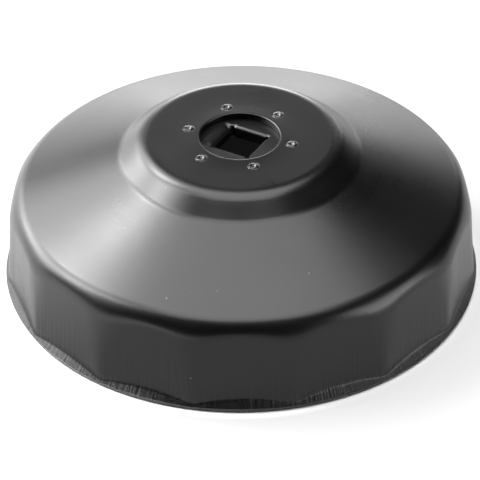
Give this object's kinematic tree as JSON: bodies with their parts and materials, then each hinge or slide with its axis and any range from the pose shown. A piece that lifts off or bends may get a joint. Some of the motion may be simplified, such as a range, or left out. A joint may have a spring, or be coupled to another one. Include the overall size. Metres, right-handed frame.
{
  "type": "oil filter wrench",
  "caption": "Cup-type oil filter wrench: a pressed steel cup with a fluted wall and flared rim, and a plate under its hub with a square drive hole.",
  "frame": {"origin": "centre of the circle that the rim rests on", "axes": "+Z along the cup's axis from the rim to the hub; a flat of the wall faces -Y"},
  "size_m": [0.11, 0.11, 0.0371],
  "materials": {
    "coated_shell": "fine-grained satin black coating on pressed sheet steel, with fine drawing lines down the flats",
    "coated_plate": "satin black coating on punched steel plate, a little more worn at the sheared edges",
    "weld_steel": "small dimpled weld buttons with a bright raised ring"
  },
  "bodies": {
    "root": {"cup_shell": "coated_shell", "drive_plate": "coated_plate", "spot_welds": "weld_steel"}
  },
  "joints": []
}
